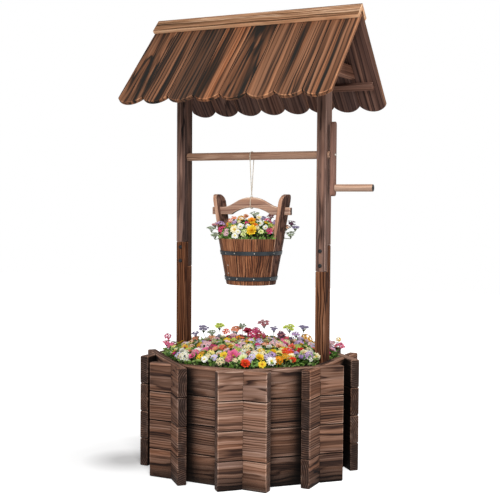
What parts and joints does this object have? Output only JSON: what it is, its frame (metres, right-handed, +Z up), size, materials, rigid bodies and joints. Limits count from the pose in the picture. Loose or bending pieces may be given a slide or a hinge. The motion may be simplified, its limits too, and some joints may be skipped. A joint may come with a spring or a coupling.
{
  "type": "wishing well planter",
  "caption": "Wooden wishing well planter: octagonal bed of crossed boards, gabled plank roof on two posts, cranked windlass and a hanging coopered bucket with flowers.",
  "frame": {"origin": "on the ground at the middle of the octagonal planter", "axes": "+Z up, +X along the ridge towards the crank, -Y to the front"},
  "size_m": [0.6045, 0.5516, 1.1482],
  "materials": {
    "board_wood": "carbonised fir, brushed",
    "post_wood": "carbonised fir, brushed",
    "roof_wood": "carbonised fir with dark streaks",
    "cap_wood": "lightly carbonised fir",
    "crank_wood": "carbonised fir",
    "handle_wood": "sanded softwood",
    "bucket_wood": "stained softwood, satin",
    "floor_wood": "sawn softwood",
    "hoop_steel": "dark coated steel band",
    "twine": "twisted natural twine",
    "compost": "loose compost",
    "flowers": "flowering plants"
  },
  "bodies": {
    "well": {"front_board_1": "board_wood", "front_board_2": "board_wood", "front_board_3": "board_wood", "front_board_4": "board_wood", "front_right_board_1": "board_wood", "front_right_board_2": "board_wood", "front_right_board_3": "board_wood", "front_right_board_4": "board_wood", "right_board_1": "board_wood", "right_board_2": "board_wood", "right_board_3": "board_wood", "right_board_4": "board_wood", "rear_right_board_1": "board_wood", "rear_right_board_2": "board_wood", "rear_right_board_3": "board_wood", "rear_right_board_4": "board_wood", "rear_board_1": "board_wood", "rear_board_2": "board_wood", "rear_board_3": "board_wood", "rear_board_4": "board_wood", "rear_left_board_1": "board_wood", "rear_left_board_2": "board_wood", "rear_left_board_3": "board_wood", "rear_left_board_4": "board_wood", "left_board_1": "board_wood", "left_board_2": "board_wood", "left_board_3": "board_wood", "left_board_4": "board_wood", "front_left_board_1": "board_wood", "front_left_board_2": "board_wood", "front_left_board_3": "board_wood", "front_left_board_4": "board_wood", "planter_floor": "floor_wood", "planter_soil": "compost", "planter_flowers": "flowers", "left_post_lower": "post_wood", "left_post_upper": "post_wood", "right_post_lower": "post_wood", "right_post_upper": "post_wood", "left_collar": "post_wood", "right_collar": "post_wood", "front_roof_panel": "roof_wood", "rear_roof_panel": "roof_wood", "front_ridge_cap": "cap_wood", "rear_ridge_cap": "cap_wood"},
    "windlass": {"axle": "cap_wood", "crank_arm": "crank_wood", "crank_handle": "handle_wood"},
    "rope": {"rope_loop": "twine"},
    "bucket": {"handle_tie": "twine", "bucket_front_staves": "bucket_wood", "bucket_rear_staves": "bucket_wood", "left_ear": "bucket_wood", "right_ear": "bucket_wood", "bucket_bottom": "bucket_wood", "lower_hoop": "hoop_steel", "upper_hoop": "hoop_steel", "bucket_handle": "bucket_wood", "bucket_flowers": "flowers"}
  },
  "joints": [
    {"name": "crank_turn", "type": "hinge", "parent": "well", "child": "windlass", "pos_m": [0, 0, 0.787], "axis": [1, 0, 0], "continuous": true},
    {"name": "bucket_swing", "type": "hinge", "parent": "well", "child": "rope", "pos_m": [0, 0, 0.787], "axis": [1, 0, 0], "range_deg": [-45, 45]},
    {"name": "bucket_tilt", "type": "hinge", "parent": "rope", "child": "bucket", "pos_m": [0, 0, 0.6883], "axis": [1, 0, 0], "range_deg": [-20, 20]}
  ]
}
